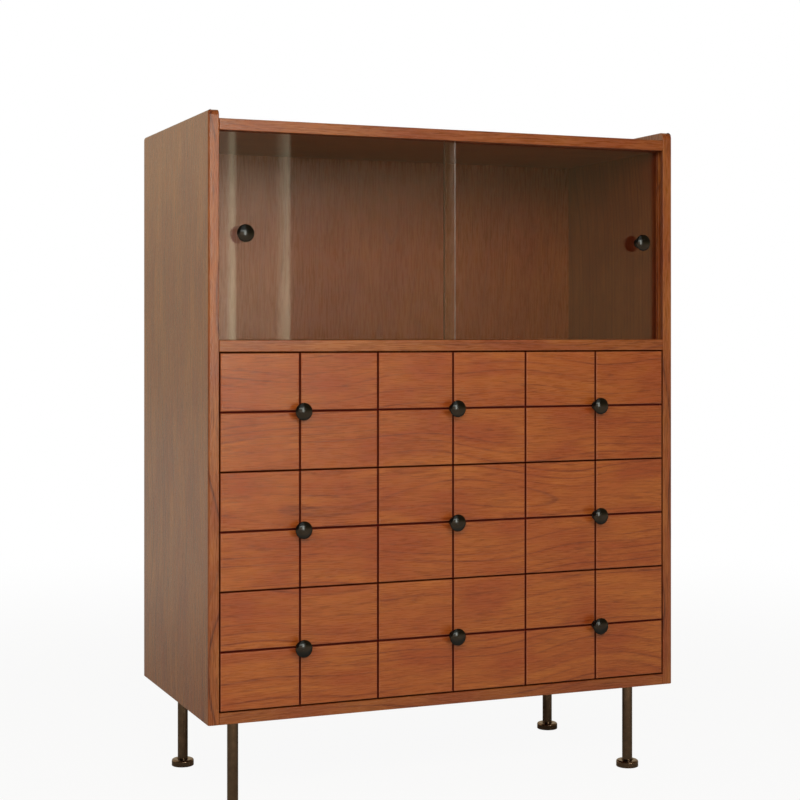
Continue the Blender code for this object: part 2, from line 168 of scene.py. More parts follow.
def linear(hex_colour):
    """An sRGB hex colour as linear red, green, blue and alpha."""
    srgb = np.array([int(hex_colour[at : at + 2], 16) for at in (1, 3, 5)]) / 255
    straight = srgb / 12.92
    curved = ((srgb + 0.055) / 1.055) ** 2.4
    return (*np.where(srgb <= 0.04045, straight, curved).tolist(), 1.0)


def new_material(name):
    """A material with its node tree and its shader."""
    material = bpy.data.materials.new(name)
    material.use_nodes = True
    return material, material.node_tree, material.node_tree.nodes["Principled BSDF"]


def add_node(tree, kind, inputs=None, out=0, **settings):
    """Adds a node with its settings and returns one of its outputs.

    An input is given a value, or a socket that it is linked to.
    """
    made = tree.nodes.new(f"ShaderNode{kind}")
    for setting, value in settings.items():
        setattr(made, setting, value)
    for key, value in (inputs or {}).items():
        if isinstance(value, bpy.types.NodeSocket):
            tree.links.new(value, made.inputs[key])
        else:
            made.inputs[key].default_value = value
    return made.outputs[out]


def sawn_wood(name, tones, pith=None, turn=None, roughness=LACQUER_ROUGHNESS):
    """Solid wood, sawn from a log, stained and finished in satin lacquer.

    Growth rings are circles round the pith, which wanders as it runs along the grain, so that a face
    near it shows arches and a face far from it straight lines. The pith's place is a vector, or the
    piece's own attribute, and turn lays the grain along another axis than X. Fibre and vessel lines
    are drawn coarser than life, so that they show, and lie closer in some patches than in others.
    Another attribute, painted_light, runs from -1 on eased edges, where a paler tone is a painted
    highlight, to 1 in the scores, where a dark red tone, partly staining collected there and partly painted
    shade, also leaves the wood dull. Inner faces of the case take a share of that dark tone as painted
    shade. To the eye it is a warm brown ground with darker rings and fibre under a soft, broad shine.
    """
    pale, body, late, red, painted_edge_highlight, stain_and_painted_shade = (linear(tone) for tone in tones)
    material, tree, shader = new_material(name)
    place = add_node(tree, "TexCoord", out="Object")
    if pith is None:
        pith = add_node(tree, "Attribute", out="Vector", attribute_name="pith")
    log = add_node(tree, "VectorMath", {0: place, 1: pith}, operation="SUBTRACT")
    if turn:
        log = add_node(tree, "Mapping", {"Vector": log, "Rotation": turn})
    along = add_node(tree, "SeparateXYZ", {0: log}, "X")

    middle = (0.5, 0.5, 0.5)
    lengths = {"W": along, "Scale": 1 / PITH_WANDER_LENGTH, "Detail": 1.0}
    wander_noise = add_node(tree, "TexNoise", lengths, "Color", noise_dimensions="1D")
    wander = add_node(tree, "VectorMath", {0: wander_noise, 1: middle}, operation="SUBTRACT")
    wandered = add_node(tree, "VectorMath", {0: wander, 1: PITH_WANDER, 2: log}, operation="MULTIPLY_ADD")
    waver_place = add_node(tree, "VectorMath", {0: log, 1: RING_WAVER_SIZE}, operation="DIVIDE")
    waver_noise = add_node(tree, "TexNoise", {"Vector": waver_place, "Scale": 1.0, "Detail": 2.0}, "Color")
    waver = add_node(tree, "VectorMath", {0: waver_noise, 1: middle}, operation="SUBTRACT")
    wavered = add_node(tree, "VectorMath", {0: waver, 1: RING_WAVER, 2: wandered}, operation="MULTIPLY_ADD")
    from_pith = add_node(tree, "VectorMath", {0: wavered, 1: (0, 1, 1)}, operation="MULTIPLY")
    radius = add_node(tree, "VectorMath", {0: from_pith}, "Value", operation="LENGTH")

    rings = add_node(tree, "Math", {0: radius, 1: RING_WIDTH}, operation="DIVIDE")
    ring = add_node(tree, "Math", {0: rings}, operation="FRACT")
    peak = {"Value": ring, "From Max": LATEWOOD_PEAK}
    darkens, ends = (
        add_node(tree, "MapRange", {**peak, "From Min": start}, interpolation_type="SMOOTHSTEP")
        for start in (LATEWOOD_START, 1.0)
    )
    latewood = add_node(tree, "Math", {0: darkens, 1: ends}, operation="MULTIPLY")

    # Each pattern: what it follows, its size in metres along and across the grain, and its detail.
    grown = add_node(tree, "CombineXYZ", {"X": along, "Y": radius})
    patterns = {}
    for label, source, size, detail in (
        ("band", grown, (0.4, 0.007, 1.0), 3.0),
        ("fibre", log, (0.03, 0.0016, 0.0016), 2.0),
        ("vessel", log, (0.018, 0.0014, 0.0014), 0.0),
        ("patch", log, (0.07, 0.014, 0.014), 2.0),
        ("cloud", log, (0.12, 0.05, 0.05), 3.0),
    ):
        sized = add_node(tree, "VectorMath", {0: source, 1: size}, operation="DIVIDE")
        patterns[label] = add_node(tree, "TexNoise", {"Vector": sized, "Scale": 1.0, "Detail": detail})
    patterns["painted_light"] = add_node(tree, "Attribute", out="Fac", attribute_name="painted_light")

    # Each share: its pattern, where on that it starts and ends, and the share at each of the two.
    shares = {}
    for label, source, low, high, least, most in (
        ("band", "band", 0.3, 0.7, 0.0, 1.0),
        ("strong_ring", "band", 0.4, 0.64, 0.0, 0.75),
        ("cloud", "cloud", 0.38, 0.64, 0.0, 0.65),
        ("vessel", "vessel", 0.6, 0.72, 0.0, 1.0),
        ("fibre", "fibre", 0.64, 0.36, 0.0, 0.38),
        ("close_fibre", "patch", 0.35, 0.65, 0.45, 1.15),
        ("rough", "fibre", 0.3, 0.7, roughness - 0.04, roughness + 0.06),
        # The last two shares come from painted_light: a paler painted highlight on eased edges, and the
        # dark red of painted shade, partly staining in the scores.
        ("painted_edge_highlight", "painted_light", 0.0, -1.0, 0.0, 0.4),
        ("stain_and_painted_shade", "painted_light", 0.0, 1.0, 0.0, 1.0),
    ):
        span = {"From Min": low, "From Max": high, "To Min": least, "To Max": most}
        shares[label] = add_node(tree, "MapRange", {"Value": patterns[source], **span})
    fine_lines = {0: shares["vessel"], 1: VESSEL_DARKENS, 2: shares["fibre"]}
    fine = add_node(tree, "Math", fine_lines, operation="MULTIPLY_ADD")
    patched = add_node(tree, "Math", {0: fine, 1: shares["close_fibre"]}, operation="MULTIPLY")
    ringed = add_node(tree, "Math", {0: latewood, 1: shares["strong_ring"]}, operation="MULTIPLY")
    shares["dark"] = add_node(tree, "Math", {0: patched, 1: ringed}, operation="ADD", use_clamp=True)

    # Layers over the pale ground; the last two are the painted edge highlight and the dark red of painted
    # shade.
    layers = {"band": body, "cloud": red, "dark": late, "painted_edge_highlight": painted_edge_highlight, "stain_and_painted_shade": stain_and_painted_shade}
    colour = pale
    for label, tone in layers.items():
        colour = add_node(tree, "Mix", {"Factor": shares[label], 6: colour, 7: tone}, 2, data_type="RGBA")
    tree.links.new(colour, shader.inputs["Base Color"])
    dulled = add_node(tree, "Mix", {"Factor": shares["stain_and_painted_shade"], 2: shares["rough"], 3: POOLED_ROUGHNESS})
    tree.links.new(dulled, shader.inputs["Roughness"])
    relief = {0: shares["vessel"], 1: VESSEL_SINKS, 2: patterns["fibre"]}
    height = add_node(tree, "Math", relief, operation="MULTIPLY_ADD")
    bump = add_node(tree, "Bump", {"Height": height, "Strength": PORE_STRENGTH, "Distance": PORE_DEPTH})
    tree.links.new(bump, shader.inputs["Normal"])
    shader.inputs["IOR"].default_value = LACQUER_IOR
    return material


def points_of(piece):
    """The points of a piece, as rows of an array."""
    spots = np.empty(len(piece.data.vertices) * 3)
    piece.data.vertices.foreach_get("co", spots)
    return spots.reshape(-1, 3)


def mark(piece, name, values):
    """Stores a number or a vector under a name for each point of a piece."""
    kind, key = ("FLOAT_VECTOR", "vector") if values.ndim == 2 else ("FLOAT", "value")
    attribute = piece.data.attributes.new(name, kind, "POINT")
    attribute.data.foreach_set(key, values.astype(np.float32).ravel())


def paint_inside_shade(piece):
    """Marks painted shade, a share of the dark red tone, on the case's inner faces and reveals."""
    across, deep, up = points_of(piece).T
    between = np.abs(across) < inner_half + GROOVE_STOP
    in_height = (up > back_floor - ARRIS) & (up < back_roof + ARRIS)
    in_depth = (deep > deep.min() + ARRIS - GROOVE_STOP) & (deep < grooves[0][1] + GROOVE_STOP)
    mark(piece, "painted_light", INSIDE_PAINTED_SHADE * (between & in_height & in_depth))


def finish_piece(piece, material, body, slot, *nodes):
    """Gives a new piece its material and body, and hides the nodes that it stands for. The slot is not
    used.
    """
    piece.data.materials.append(material)
    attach(piece, body)
    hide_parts(*nodes)


panel_low, panel_high = corners_of("side_panel_left")
side_thickness = panel_high[0] - panel_low[0]
inner_half = cad_box[1].x - side_thickness
tracks = [corners_of(f"glass_pane_{label}") for label in ("left", "right")]
track_floor = tracks[0][0][2]
track_roof = tracks[0][1][2]
back_low, back_high = corners_of("back_panel")
back_floor, back_roof = back_low[2], back_high[2]

grooves = [(back_high[1] + BACK_CLEARANCE, back_low[1] - BACK_CLEARANCE, BACK_GROOVE)]
for pane_low, pane_high in reversed(tracks):
    grooves.append((pane_high[1] + TRACK_CLEARANCE, pane_low[1] - TRACK_CLEARANCE, TRACK_DEPTH))
plan_corners = [
    (0, panel_low[1]),
    (side_thickness, panel_low[1]),
    (side_thickness, panel_high[1]),
    (0, panel_high[1]),
]
plan_radii = [ARRIS, OUTER_ARRIS, OUTER_ARRIS, ARRIS]
for groove_rear, groove_front, groove_depth in grooves:
    plan_corners += [(0, groove_rear), (groove_depth, groove_rear)]
    plan_corners += [(groove_depth, groove_front), (0, groove_front)]
    plan_radii += [GROOVE_MOUTH, GROOVE_FOOT, GROOVE_FOOT, GROOVE_MOUTH]
plan_across, plan_deep = eased_outline(plan_corners, plan_radii).T

quarter = np.linspace(0, math.pi / 2, 13)
stops = np.array([track_floor, track_roof, back_floor, back_roof])
heights = np.sort(np.concatenate((
    panel_low[2] + ARRIS * (1 - np.cos(quarter[::3])),
    stops - GROOVE_STOP,
    stops + GROOVE_STOP,
    panel_high[2] - SIDE_CORNER + SIDE_CORNER * np.sin(quarter),
)))
from_below = drawn_in(-heights, -panel_low[2], ARRIS)
outer_in = from_below + drawn_in(heights, panel_high[2], SIDE_ROUNDOVER)
inner_in = from_below + drawn_in(heights, panel_high[2], ARRIS)
ends_in = from_below + drawn_in(heights, panel_high[2], SIDE_CORNER)

outer = plan_across > side_thickness / 2
in_back = (plan_deep > grooves[0][1] - ARRIS) & (plan_deep < grooves[0][0] + ARRIS) & ~outer
in_track = (plan_deep < grooves[1][0] + ARRIS) & (plan_deep > grooves[2][1] - ARRIS) & ~outer
at_front = plan_deep < panel_low[1] + 2 * ARRIS
at_rear = plan_deep > panel_high[1] - 2 * ARRIS
open_track = ((heights > track_floor) & (heights < track_roof))[:, None]
open_back = ((heights > back_floor) & (heights < back_roof))[:, None]
housed = np.where(in_track, open_track, True) & np.where(in_back, open_back, True)
inward = np.where(outer, -outer_in[:, None], inner_in[:, None])
panel_across = plan_across * housed + inward
panel_deep = plan_deep + ends_in[:, None] * at_front - ends_in[:, None] * at_rear
panel_up = np.broadcast_to(heights[:, None], panel_across.shape)
for label, side in (("left", -1), ("right", 1)):
    panel_points = np.stack((side * (inner_half + panel_across), panel_deep, panel_up), axis=-1)
    panel = surface(f"side_{label}", panel_points)
    # Painted shade on the panel's inner faces and reveals.
    paint_inside_shade(panel)
    panel_pith = (side * SIDE_PITH[0], *SIDE_PITH[1:])
    panel_wood = sawn_wood(f"cherry_side_{label}", SIDE_TONES, panel_pith, UPRIGHT)
    finish_piece(panel, panel_wood, "case", "cherry_wood", f"side_panel_{label}")


# Top, shelf and bottom: boards of the same wood with the grain across the chest, tongued into the
# sides. The top and the shelf are ploughed with two tracks each for the panes, and the top and the
# bottom for the back. The ends are eased, which leaves a fine dark line against each side.
# The last two tones are as for the sides: only the dark red painted shade is used, where the boards lie
# inside the case.
CASE_TONES = ("#9b5926", "#8a471b", "#5a210c", "#803416", "#b37a60", "#440000")
BOARD_EASE = 0.0006
END_GAP = 0.0003
UPPER_TRACK_ROOM = 0.005
BOARD_PITHS = {
    "top_panel": (0.1, -0.3, 1.2),
    "middle_shelf": (0.5, -0.34, 0.58),
    "bottom_panel": (-0.7, -0.36, 0.3),
}


def carried_board(name, outline, half_length, ease):
    """An outline of (y, z) points carried along X, drawn in by a quarter round at both ends.

    At angle t of the round, a point lies r (1 - cos t) from the end and r (1 - sin t) inside the
    outline, square to it.
    """
    angle = np.linspace(0, math.pi / 2, 5)
    run = ease * (1 - np.cos(angle)) - half_length
    inset = ease * (1 - np.sin(angle))
    places = np.concatenate((run, -run[::-1]))
    insets = np.concatenate((inset, inset[::-1]))
    tangent = np.roll(outline, -1, axis=0) - np.roll(outline, 1, axis=0)
    tangent /= np.linalg.norm(tangent, axis=1, keepdims=True)
    square = np.stack((-tangent[:, 1], tangent[:, 0]), axis=-1)
    points = np.empty((len(places), len(outline), 3))
    points[..., 0] = places[:, None]
    points[..., 1:] = outline + insets[:, None, None] * square
    return surface(name, points)


def ploughed(spans, face, bottoms):
    """Corners (y, z) of grooves sunk from a face to their bottoms, from front to rear, and their radii."""
    corners = []
    for (front, rear), bottom in zip(spans, bottoms):
        corners += [(front, face), (front, bottom), (rear, bottom), (rear, face)]
    return corners, [GROOVE_MOUTH, GROOVE_FOOT, GROOVE_FOOT, GROOVE_MOUTH] * len(spans)


cherry_across = sawn_wood("cherry_across", CASE_TONES)
track_spans = [(low[1] - TRACK_CLEARANCE, high[1] + TRACK_CLEARANCE) for low, high in tracks]
back_span = (back_low[1] - BACK_CLEARANCE, back_high[1] + BACK_CLEARANCE)
for node_name, board_pith in BOARD_PITHS.items():
    (_, board_front, under), (_, board_rear, upper) = corners_of(node_name)
    section = [(board_front, under), (board_rear, under), (board_rear, upper), (board_front, upper)]
    section_radii = [ARRIS] * len(section)
    if node_name == "top_panel":
        bottoms = [track_roof + UPPER_TRACK_ROOM] * len(tracks) + [back_roof + BACK_CLEARANCE]
        sunk, sunk_radii = ploughed([*track_spans, back_span], under, bottoms)
        section[1:1] = sunk
        section_radii[1:1] = sunk_radii
    else:
        spans = track_spans if node_name == "middle_shelf" else [back_span]
        seat = track_floor if node_name == "middle_shelf" else back_floor
        sunk, sunk_radii = ploughed(spans, upper, [seat - BACK_CLEARANCE] * len(spans))
        section[3:3] = sunk[::-1]
        section_radii[3:3] = sunk_radii
    board_outline = eased_outline(section, section_radii)
    board = carried_board(f"{node_name}_board", board_outline, inner_half - END_GAP, BOARD_EASE)
    mark(board, "pith", np.tile(board_pith, (len(board.data.vertices), 1)))
    # Painted shade on the parts of the board inside the case.
    paint_inside_shade(board)
    finish_piece(board, cherry_across, "case", "cherry_wood", node_name)


# Back: a thin board of the same stained wood with upright grain, slid into grooves in the sides, the
# top and the bottom. It is darker and plainer than the fronts.
BACK_PITH = (0.02, 0.12, 0.2)
BACK_TONES = ("#844618", "#793710", "#5e2209", "#722a0d", "#844618", "#3a0a05")
back_wood = sawn_wood("cherry_back", BACK_TONES, BACK_PITH, UPRIGHT)
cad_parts["back_panel"].material_slots[0].material = back_wood


# Legs and feet: slim turned steel rods under round screwed plates, each standing in a wider disc foot.
# All are plated in dark polished bronze, so they mirror the room in narrow upright streaks.
LEG_RADIUS = 0.0085
PLATE_THICKNESS = 0.003
PLATE_EASE = 0.0006
FOOT_ROUNDING = 0.003
FOOT_EASE = 0.001
TURNED_SIDES = 96
BRONZE = "#6b5a4c"
BRONZE_ROUGHNESS = 0.14
BRONZE_HAIRLINE = (0.0006, 0.0006, 0.02)
PLATING_CLOUD = 0.012
PLATING_SHADES = (0.85, 1.15)
HAIRLINE_SHADES = (0.85, 1.2)


def arc(centre, radius, start, end, steps=7):
    """Points (radius, height) on a circle about a centre, from one angle in degrees to another."""
    angle = np.radians(np.linspace(start, end, steps))
    return np.array(centre) + radius * np.stack((np.cos(angle), np.sin(angle)), axis=-1)


def turned(name, profile, origin, forward=False, sides=TURNED_SIDES):
    """A profile of (radius, height) points turned about an upright axis, or one that comes forward.

    At angle t a profile point lies r cos t and r sin t from the axis, at its own height along it.
    """
    angle = np.linspace(0, 2 * math.pi, sides, endpoint=False)
    radius, height = np.asarray(profile).T
    across = radius[:, None] * np.cos(angle)
    aside = radius[:, None] * np.sin(angle)
    run = np.broadcast_to(height[:, None], across.shape)
    points = np.stack((across, -run, aside) if forward else (across, aside, run), axis=-1)
    return surface(name, points + np.array(origin), caps=False)


def plated_metal(name, colour, roughness, hairline):
    """Plated metal: faint clouds in the plating, 12 mm across, and hairlines left by polishing.

    hairline gives the size of a hairline in metres along X, Y and Z.
    """
    material, tree, shader = new_material(name)
    place = add_node(tree, "TexCoord", out="Object")
    noise_span = {"From Min": 0.3, "From Max": 0.7}
    cloud = add_node(tree, "TexNoise", {"Vector": place, "Scale": 1 / PLATING_CLOUD, "Detail": 2.0})
    tone_span = {"To Min": PLATING_SHADES[0], "To Max": PLATING_SHADES[1]}
    tone = add_node(tree, "MapRange", {"Value": cloud, **noise_span, **tone_span})
    shade = add_node(tree, "VectorMath", {0: linear(colour)[:3], "Scale": tone}, operation="SCALE")
    tree.links.new(shade, shader.inputs["Base Color"])
    drawn_place = add_node(tree, "VectorMath", {0: place, 1: hairline}, operation="DIVIDE")
    drawn = add_node(tree, "TexNoise", {"Vector": drawn_place, "Scale": 1.0, "Detail": 1.0})
    rough_span = {"To Min": roughness * HAIRLINE_SHADES[0], "To Max": roughness * HAIRLINE_SHADES[1]}
    rough = add_node(tree, "MapRange", {"Value": drawn, **noise_span, **rough_span})
    tree.links.new(rough, shader.inputs["Roughness"])
    shader.inputs["Metallic"].default_value = 1.0
    return material


bronze = plated_metal("dark_bronze_plate", BRONZE, BRONZE_ROUGHNESS, BRONZE_HAIRLINE)
for corner in ("front_left", "front_right", "rear_left", "rear_right"):
    leg_low, leg_high = corners_of(f"leg_{corner}")
    foot_low, foot_high = corners_of(f"foot_{corner}")
    leg_axis = (*((leg_low + leg_high) / 2)[:2], 0)
    plate_radius = (leg_high[0] - leg_low[0]) / 2
    neck = leg_high[2] - PLATE_THICKNESS
    leg_profile = np.concatenate((
        [(0, leg_high[2]), (plate_radius, leg_high[2])],
        arc((plate_radius - PLATE_EASE, neck + PLATE_EASE), PLATE_EASE, 0, -90),
        arc((LEG_RADIUS + PLATE_EASE, neck - PLATE_EASE), PLATE_EASE, 90, 180),
        [(LEG_RADIUS, leg_low[2]), (0, leg_low[2])],
    ))
    leg = turned(f"leg_rod_{corner}", leg_profile, leg_axis)
    finish_piece(leg, bronze, "case", "dark_bronze_metal", f"leg_{corner}")
    foot_radius = (foot_high[0] - foot_low[0]) / 2
    foot_top = foot_high[2]
    foot_profile = np.concatenate((
        [(0, foot_top - FOOT_EASE), (LEG_RADIUS + FOOT_EASE, foot_top - FOOT_EASE)],
        [(LEG_RADIUS + 2 * FOOT_EASE, foot_top)],
        arc((foot_radius - FOOT_ROUNDING, foot_top - FOOT_ROUNDING), FOOT_ROUNDING, 90, 0),
        arc((foot_radius - FOOT_EASE, FOOT_EASE), FOOT_EASE, 0, -90),
        [(0, 0)],
    ))
    foot = turned(f"foot_disc_{corner}", foot_profile, leg_axis)
    finish_piece(foot, bronze, "case", "dark_bronze_metal", f"foot_{corner}")


# Runners: three nested channels of zinc-plated steel at each side of a drawer, rolled from sheet.
# One is screwed to the case, one to the drawer box, and one slides between them. The zinc is pale grey
# and half dull, with fine lines along the rolling.
ZINC = "#b9bcbf"
ZINC_ROUGHNESS = 0.3
ZINC_HAIRLINE = (0.0008, 0.03, 0.0008)
DRAWERS = ("bottom", "middle", "top")
zinc = plated_metal("zinc_plated_steel", ZINC, ZINC_ROUGHNESS, ZINC_HAIRLINE)
for drawer in DRAWERS:
    for member in ("outer", "middle", "inner"):
        for label in ("left", "right"):
            node_name = f"drawer_{drawer}_runner_{member}_{label}"
            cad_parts[node_name].material_slots[0].material = zinc


# Drawer boxes: thin boards of pale wood, glued at the corners and lacquered, with the base slid into
# grooves. The grain follows each board's length, and the thin lacquer leaves them nearly matt. They
# show only when a drawer is pulled out.
BOX_TONES = ("#d8b98a", "#cba877", "#a97f50", "#c59d6c", "#d8b98a", "#8a6238")
BOX_ROUGHNESS = 0.45
BOX_PITH = (0.3, -0.6, 0.1)
BOX_SIDE_PITH = (0.52, -0.1, 0.1)
LENGTHWISE = (0, 0, math.pi / 2)
box_across = sawn_wood("lacquered_box_wood", BOX_TONES, BOX_PITH, None, BOX_ROUGHNESS)
box_along = sawn_wood("lacquered_box_side_wood", BOX_TONES, BOX_SIDE_PITH, LENGTHWISE, BOX_ROUGHNESS)
for drawer in DRAWERS:
    for board_name in ("back", "base", "side_left", "side_right"):
        box_wood = box_along if board_name.startswith("side") else box_across
        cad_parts[f"drawer_{drawer}_{board_name}"].material_slots[0].material = box_wood


# Drawer fronts: each is one wide board, scored by saw into two rows of six tiles with softened edges.
# Each row of tiles shows its own figure. The scores are dark red, partly staining collected there and
# partly painted shade, and the softened edges carry a paler painted highlight.
TILE_COLUMNS = 6
SCORE_WIDTH = 0.0026
SCORE_DEPTH = 0.004
SCORE_SLOPE = 0.0001
TILE_EASE = 0.0018
TILE_DROP = 0.0018
# Painted light by depth below the face: a paler painted highlight peaks at the first depth, and the dark
# red of the scores, partly staining and partly painted shade, sets in from the second.
EDGE_HIGHLIGHT_DROP = 0.12 * TILE_DROP
SHADE_START_DROP = 0.3 * TILE_DROP
PAINTED_LIGHT_SHARES = (0, -1, 0.2, 0.8, 1, 0)
# The last two tones are a paler painted highlight for the softened edges and a dark red for the scores,
# partly staining and partly painted shade.
FRONT_TONES = ("#ab5f25", "#984a19", "#64240c", "#8c3615", "#b37a60", "#440000")
ROW_PITHS = (
    (0.35, -0.33, 0.09),
    (-0.2, -0.36, 0.42),
    (0.9, -0.37, 0.62),
    (0.1, -0.214, 0.468),
    (-0.55, -0.24, 0.497),
    (0.6, -0.36, 0.86),
)


def scored_stations(low, high, thickness, lines):
    """Places along a tiled face and how deep the face lies at each, from the rear of one end to the other.

    A tile's edge is a quarter of an ellipse: at angle t it lies a (1 - cos t) in from the edge and
    b (1 - sin t) deep. At each line two such edges meet a score with steep walls and a flat floor.
    """
    angle = np.linspace(0, math.pi / 2, 7)
    edge_run = TILE_EASE * (1 - np.cos(angle))
    edge_dip = TILE_DROP * (1 - np.sin(angle))
    end_run = np.concatenate(([0], edge_run))
    end_dip = np.concatenate(([thickness], edge_dip))
    half = SCORE_WIDTH / 2
    half_run = np.concatenate(([half - SCORE_SLOPE], half + edge_run))
    half_dip = np.concatenate(([SCORE_DEPTH], edge_dip))
    score_run = np.concatenate((-half_run[::-1], half_run))
    score_dip = np.concatenate((half_dip[::-1], half_dip))
    between = (np.array(lines)[:, None] + score_run).ravel()
    places = np.concatenate((low + end_run, between, high - end_run[::-1]))
    dips = np.concatenate((end_dip, np.tile(score_dip, len(lines)), end_dip[::-1]))
    return places, dips


front_wood = sawn_wood("cherry_drawer_front", FRONT_TONES)
column_width = 2 * inner_half / TILE_COLUMNS
column_lines = (np.arange(1, TILE_COLUMNS) - TILE_COLUMNS / 2) * column_width
for storey, drawer in enumerate(DRAWERS):
    front_low, front_high = corners_of(f"drawer_{drawer}_front")
    front_thickness = front_high[1] - front_low[1]
    row_line = (front_low[2] + front_high[2]) / 2
    tile_across, across_dip = scored_stations(front_low[0], front_high[0], front_thickness, column_lines)
    tile_up, up_dip = scored_stations(front_low[2], front_high[2], front_thickness, [row_line])
    grid_across, grid_up = np.meshgrid(tile_across, tile_up)
    grid_deep = front_low[1] + np.maximum(across_dip[None, :], up_dip[:, None])
    tile_points = np.stack((grid_across, grid_deep, grid_up), axis=-1)
    tiles = surface(f"drawer_{drawer}_tiles", tile_points, wrap=False, caps=False)
    tile_spots = points_of(tiles)
    mark(tiles, "pith", np.array(ROW_PITHS)[2 * storey + (tile_spots[:, 2] > row_line)])
    # Painted highlight on the softened edges and dark red in the scores, partly staining and partly painted
    # shade, set by depth below the face.
    painted_light_dips = (0, EDGE_HIGHLIGHT_DROP, SHADE_START_DROP, TILE_DROP, SCORE_DEPTH, front_thickness)
    mark(tiles, "painted_light", np.interp(tile_spots[:, 1] - front_low[1], painted_light_dips, PAINTED_LIGHT_SHARES))
    finish_piece(tiles, front_wood, f"drawer_{drawer}", "cherry_wood", f"drawer_{drawer}_front")


# Knobs: turned metal pulls with a shallow dome on a waisted neck, plated in satin black nickel. Drawer
# knobs sit where the scores cross, three to a drawer, and each pane has one near its closed edge. They
# look nearly black, with one small bright mirror image of the window on each dome.
KNOB_RADIUS = 0.0135
KNOB_RIM = 0.018
KNOB_LIP = 0.0012
KNOB_NECK = 0.0052
KNOB_BASE_RADIUS = 0.0075
KNOB_BASE_HEIGHT = 0.002
KNOB_EASE = 0.0006
KNOB_SIDES = 72
BLACK_NICKEL = "#343638"
NICKEL_ROUGHNESS = 0.15
NICKEL_HAIRLINE = (0.0015, 0.0015, 0.0015)


def knob_profile(projection):
    """(radius, height) points from the middle of the dome back to the base.

    The dome is a quarter of an ellipse and its rim a small quarter round. The neck is a cubic curve
    with its handles drawn in to the waist, and the base a collar with an eased edge.
    """
    dome = arc((0, 0), 1, 90, 0, 17) * (KNOB_RADIUS, projection - KNOB_RIM) + (0, KNOB_RIM)
    rim = arc((KNOB_RADIUS - KNOB_LIP, KNOB_RIM), KNOB_LIP, 0, -90)[1:]
    t = np.linspace(0, 1, 15)[1:, None]
    collar_radius = KNOB_BASE_RADIUS - KNOB_EASE
    waist_top = np.array((KNOB_NECK, KNOB_RIM - 2 * KNOB_LIP))
    waist_foot = np.array((KNOB_NECK - KNOB_EASE, KNOB_BASE_HEIGHT))
    neck_foot = np.array((collar_radius, KNOB_BASE_HEIGHT))
    upper_neck = rim[-1] * (1 - t) ** 3 + 3 * waist_top * t * (1 - t) ** 2
    lower_neck = 3 * waist_foot * t**2 * (1 - t) + neck_foot * t**3
    collar = arc((collar_radius, KNOB_BASE_HEIGHT - KNOB_EASE), KNOB_EASE, 90, 0)[1:]
    base = [(KNOB_BASE_RADIUS, BACK_CLEARANCE), (0, BACK_CLEARANCE)]
    return np.concatenate((dome, rim, upper_neck + lower_neck, collar, base))


black_nickel = plated_metal("satin_black_nickel", BLACK_NICKEL, NICKEL_ROUGHNESS, NICKEL_HAIRLINE)
knob_places = []
for drawer in DRAWERS:
    for label in ("left", "centre", "right"):
        knob_places.append((f"drawer_{drawer}_knob_{label}", f"drawer_{drawer}", f"drawer_{drawer}_front"))
for label in ("left", "right"):
    knob_places.append((f"pane_knob_{label}", f"pane_{label}", f"glass_pane_{label}"))
for node_name, knob_body, carrier in knob_places:
    knob_low, knob_high = corners_of(node_name)
    knob_middle = (knob_low + knob_high) / 2
    face_y = corners_of(carrier)[0][1]
    knob_origin = (knob_middle[0], face_y, knob_middle[2])
    pull_profile = knob_profile(face_y - knob_low[1])
    knob = turned(f"{node_name}_pull", pull_profile, knob_origin, forward=True, sides=KNOB_SIDES)
    finish_piece(knob, black_nickel, knob_body, "black_metal", node_name)


# Panes: two sheets of tea-tinted float glass with ground edges, sliding in their own tracks. Light from
# lamps passes straight through, tinted, and the faces mirror the room faintly.
TEA_TINT = "#ebe3de"
EDGE_TINT = "#8f8378"
GLASS_IOR = 1.5
GLASS_HAZE_SIZE = 0.06
GLASS_HAZE = (0.005, 0.02)
GROUND_EDGE = (0.9, 0.6)
GROUND_ROUGHNESS = 0.5


def tinted_glass(name, tint, edge_tint):
    """Body-tinted glass, smooth on both faces but for a trace of haze 60 mm across, with ground edges.

    A shadow or diffuse ray passes straight through and is tinted by the root of the tint at each of
    the two faces, as a seen ray is, so that light reaches what stands behind the pane.
    """
    material, tree, shader = new_material(name)
    shader.inputs["Transmission Weight"].default_value = 1.0
    shader.inputs["IOR"].default_value = GLASS_IOR
    place = add_node(tree, "TexCoord", out="Object")
    haze_noise = add_node(tree, "TexNoise", {"Vector": place, "Scale": 1 / GLASS_HAZE_SIZE, "Detail": 2.0})
    haze_span = {"To Min": GLASS_HAZE[0], "To Max": GLASS_HAZE[1]}
    haze = add_node(tree, "MapRange", {"Value": haze_noise, **haze_span})
    normal = add_node(tree, "TexCoord", out="Normal")
    normal_y = add_node(tree, "SeparateXYZ", {0: normal}, "Y")
    facing = add_node(tree, "Math", {0: normal_y}, operation="ABSOLUTE")
    edge_span = {"From Min": GROUND_EDGE[0], "From Max": GROUND_EDGE[1]}
    edge = add_node(tree, "MapRange", {"Value": facing, **edge_span})
    rough = add_node(tree, "Mix", {"Factor": edge, 2: haze, 3: GROUND_ROUGHNESS})
    tree.links.new(rough, shader.inputs["Roughness"])
    colour = add_node(tree, "Mix", {"Factor": edge, 6: tint, 7: edge_tint}, 2, data_type="RGBA")
    tree.links.new(colour, shader.inputs["Base Color"])
    clear = add_node(tree, "BsdfTransparent", {"Color": [math.sqrt(channel) for channel in tint]})
    shadow = add_node(tree, "LightPath", out="Is Shadow Ray")
    diffuse = add_node(tree, "LightPath", out="Is Diffuse Ray")
    passes = add_node(tree, "Math", {0: shadow, 1: diffuse}, operation="MAXIMUM")
    both = add_node(tree, "MixShader", {0: passes, 1: shader.outputs[0], 2: clear})
    tree.links.new(both, tree.nodes["Material Output"].inputs["Surface"])
    return material


